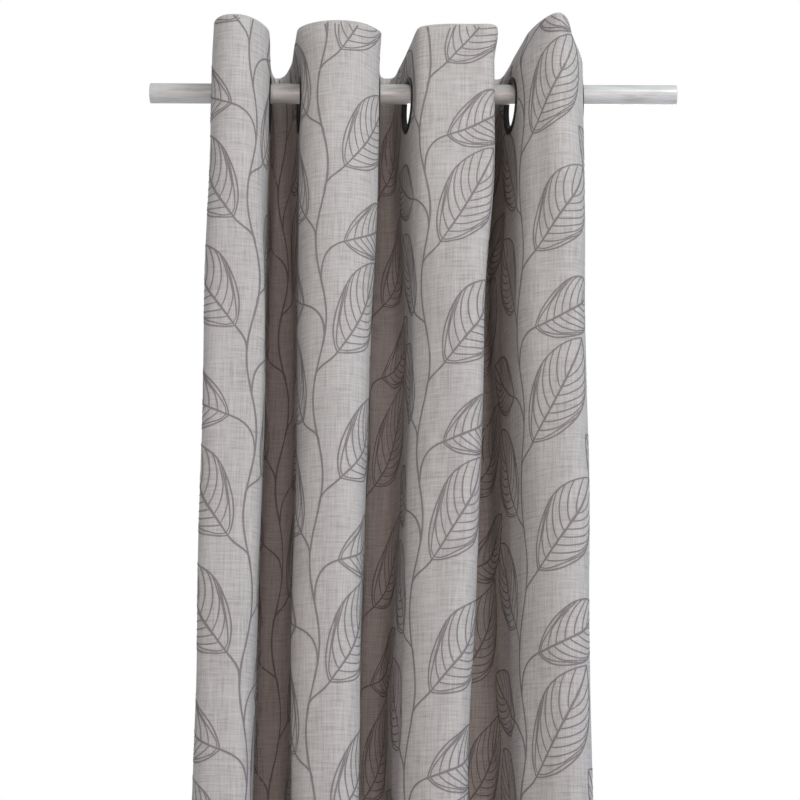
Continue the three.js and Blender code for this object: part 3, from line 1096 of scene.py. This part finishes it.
def faceProfile():
    # radius and height above the cloth's middle, round the ring's section
    seat = panel["faceOffset"] + eyelet["gap"]
    crest = seat + eyelet["flange"]
    end = -(panel["turnedOffset"] + eyelet["gap"] + eyelet["flange"])
    inner, outer, wall = eyelet["inner"], eyelet["outer"], eyelet["barrelWall"]
    rim, crown, bore = section["rim"], section["crown"], section["bore"]
    across, high = crown["radii"]
    profile = [
        (inner, end + section["barrelRise"]),
        (inner + section["barrelLip"], end),
        (inner + wall, end),
        (inner + wall, seat),
        (outer - section["underEdge"], seat),
    ]
    profile += arc((outer - rim["radii"][0], seat + rim["radii"][1]), rim["radii"], *rim["turn"])
    top = ((inner + outer) / 2 + crown["shift"], crest - high)
    profile += arc(top, (across, high), *crown["turn"])
    profile += arc((inner + bore["radii"][0], crest - bore["down"]), bore["radii"], *bore["turn"])
    return profile


def backProfile():
    seat = -(panel["turnedOffset"] + eyelet["gap"])
    crest = seat - eyelet["flange"]
    inner, outer = eyelet["inner"] + eyelet["barrelWall"] + eyelet["gap"], eyelet["outer"]
    lip, rim = section["backLip"], section["backRim"]
    inset, rise = section["backEdge"]
    profile = [(inner, seat), (inner, crest + lip), (inner + lip, crest)]
    profile += arc((outer - rim["radii"][0], crest + rim["radii"][1]), rim["radii"], *rim["turn"])
    profile += [(outer, seat - rise), (outer - inset, seat)]
    return profile


def latheMesh(profile, turns):
    points, faces = [], []
    for k in range(turns):
        a = 2 * math.pi * k / turns
        points += [(r * math.cos(a), h, r * math.sin(a)) for r, h in profile]
    n = len(profile)
    for k in range(turns):
        for j in range(n):
            a, b = k * n + j, k * n + (j + 1) % n
            c, d = ((k + 1) % turns) * n + (j + 1) % n, ((k + 1) % turns) * n + j
            faces.append((a, b, c, d))
    return np.array(points), faces


def makeEyelets():
    made = []
    for i, flank in enumerate(flanks):
        ringZ = np.array([-float(eyelet["drop"])])
        x, slope = float(flankPlace(flank, ringZ)[0]), float(flankSlope(flank, ringZ)[0])
        facing = -1 if i % 2 == 0 else 1
        normal = Vector((facing, -facing * slope, 0)).normalized()
        turn = Vector((0, 1, 0)).rotation_difference(normal).to_matrix()
        for half, profile in (("face", faceProfile()), ("back", backProfile())):
            points, faces = latheMesh(profile, eyelet["turns"])
            points = points @ np.array(turn).T + (x, 0, -eyelet["drop"])
            name, sharp = f"ring_{half}_{i + 1}", eyelet["sharp"]
            piece = newPiece(name, points * mm, faces, blackEyelet, sharp)
            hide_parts(f"eyelet_{half}_{i + 1}")
            made.append(piece)
    return made


rings = makeEyelets()
print("stage: eyelets", len(rings))

rod = {
    "radius": 10,
    "length": 526,
    "turns": 96,
    "stations": 40,
    "endRound": 0.9,
    "sharp": 50,
    "endTurn": (25, 45, 65, 90),
    "pinhole": 0.01,  # at the middle of each end, closed by one face
}


def makeRod():
    radius, half, soft = rod["radius"], rod["length"] / 2, rod["endRound"]
    end = [(rod["pinhole"], -half), (radius - soft, -half)]
    for a in np.radians(rod["endTurn"]):
        end.append((radius - soft + soft * math.sin(a), -half + soft - soft * math.cos(a)))
    stations = rod["stations"]
    profile = list(end)
    for k in range(1, stations):
        profile.append((radius, mix(-half + soft, half - soft, k / stations)))
    profile += [(r, -x) for r, x in reversed(end)]
    points, faces = [], []
    turns, n = rod["turns"], len(profile)
    for k in range(turns):
        a = 2 * math.pi * k / turns
        points += [(x, r * math.cos(a), r * math.sin(a)) for r, x in profile]
    for k in range(turns):
        for j in range(n - 1):
            a, b = k * n + j, ((k + 1) % turns) * n + j
            faces.append((a, b, b + 1, a + 1))
    faces.append(tuple(k * n for k in reversed(range(turns))))
    faces.append(tuple(k * n + n - 1 for k in range(turns)))
    places = np.array(points) * mm
    sharp = rod["sharp"]
    piece = newPiece("curtain_pole", places, faces, whitewashedWood, sharp)
    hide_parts("curtain_rod")
    return piece


pole = makeRod()
print("stage: rod")

studio = {
    "floorGap": 12,  # under the hem
    "floorReach": 9.0,
    "floor": {"Base Color": (0.86, 0.855, 0.85, 1), "Roughness": 0.8},
    "fill": (0.85, 0.93, 1.0),
    "fillStrength": 0.48,
}

lamps = [
    {
        "name": "window",
        "place": (0.9, -1.5, 0.9),
        "aim": (0, 0, -0.1),
        "size": (1.0, 0.8),
        "power": 14.8,
        "colour": (0.96, 1.0, 0.99),
    },
    {
        "name": "lowWindow",
        "place": (2.9, -2.4, -1.3),
        "aim": (0, 0, -1.3),
        "size": (1.6, 1.6),
        "power": 20.5,
        "colour": (0.53, 0.71, 1.0),
    },
    {
        "name": "room",
        "place": (0.0, -3.6, -0.8),
        "aim": (0, 0, -0.8),
        "size": (1.4, 2.0),
        "power": 17.2,
        "colour": (1.0, 0.71, 0.635),
    },
    {
        "name": "behind",
        "place": (0.7, 3.2, -0.7),
        "aim": (0, 0, -1.1),
        "size": (1.6, 2.2),
        "power": 40,
        "colour": (1.0, 0.97, 0.92),
    },
]


def areaLight(lamp):
    light = bpy.data.lights.new(lamp["name"], "AREA")
    light.shape = "RECTANGLE"
    light.size, light.size_y = lamp["size"]
    light.energy = lamp["power"]
    light.color = lamp["colour"]
    holder = bpy.data.objects.new(lamp["name"], light)
    holder.location = lamp["place"]
    heading = Vector(lamp["aim"]) - Vector(lamp["place"])
    holder.rotation_euler = heading.to_track_quat("-Z", "Y").to_euler()
    bpy.context.scene.collection.objects.link(holder)


def makeFloor():
    reach, z = studio["floorReach"], (hemLine - studio["floorGap"]) * mm
    corners = [(-reach, -reach, z), (reach, -reach, z), (reach, reach, z), (-reach, reach, z)]
    floorMesh = bpy.data.meshes.new("floor")
    floorMesh.from_pydata(corners, [], [(0, 1, 2, 3)])
    material, _, _, shader = newMaterial("paleFloor")
    setInputs(shader, studio["floor"])
    floorMesh.materials.append(material)
    floor = bpy.data.objects.new("floor", floorMesh)
    bpy.context.scene.collection.objects.link(floor)


def makeWorld():
    # plain white behind everything, and a dimmer, cooler fill that lights the pieces
    world = bpy.data.worlds.new("studio")
    bpy.context.scene.world = world
    world.use_nodes = True
    nodes, links = world.node_tree.nodes, world.node_tree.links
    nodes.clear()
    seen = nodes.new("ShaderNodeLightPath")
    white, fill = nodes.new("ShaderNodeBackground"), nodes.new("ShaderNodeBackground")
    setInputs(white, {"Color": (1, 1, 1, 1), "Strength": 1.0})
    setInputs(fill, {"Color": (*studio["fill"], 1), "Strength": studio["fillStrength"]})
    choose, output = nodes.new("ShaderNodeMixShader"), nodes.new("ShaderNodeOutputWorld")
    links.new(seen.outputs["Is Camera Ray"], choose.inputs["Fac"])
    links.new(fill.outputs["Background"], choose.inputs[1])
    links.new(white.outputs["Background"], choose.inputs[2])
    links.new(choose.outputs["Shader"], output.inputs["Surface"])


def makeStudio():
    makeFloor()
    makeWorld()
    for lamp in lamps:
        areaLight(lamp)
    bpy.context.scene.view_settings.view_transform = "Standard"
    bpy.context.scene.view_settings.look = "None"


view = {"place": (-0.012, -1.864, -0.787), "pitch": 14.2, "roll": 0.24, "lens": 90, "sensor": 36}


def makeCamera():
    data = bpy.data.cameras.new("studioCamera")
    data.lens = view["lens"]
    data.sensor_width = view["sensor"]
    camera = bpy.data.objects.new("studioCamera", data)
    pitch = Matrix.Rotation(math.radians(90 + view["pitch"]), 4, "X")
    roll = Matrix.Rotation(math.radians(view["roll"]), 4, "Z")
    camera.matrix_world = Matrix.Translation(view["place"]) @ (pitch @ roll)
    bpy.context.scene.collection.objects.link(camera)
    bpy.context.scene.camera = camera


makeStudio()
makeCamera()
print("stage: studio")
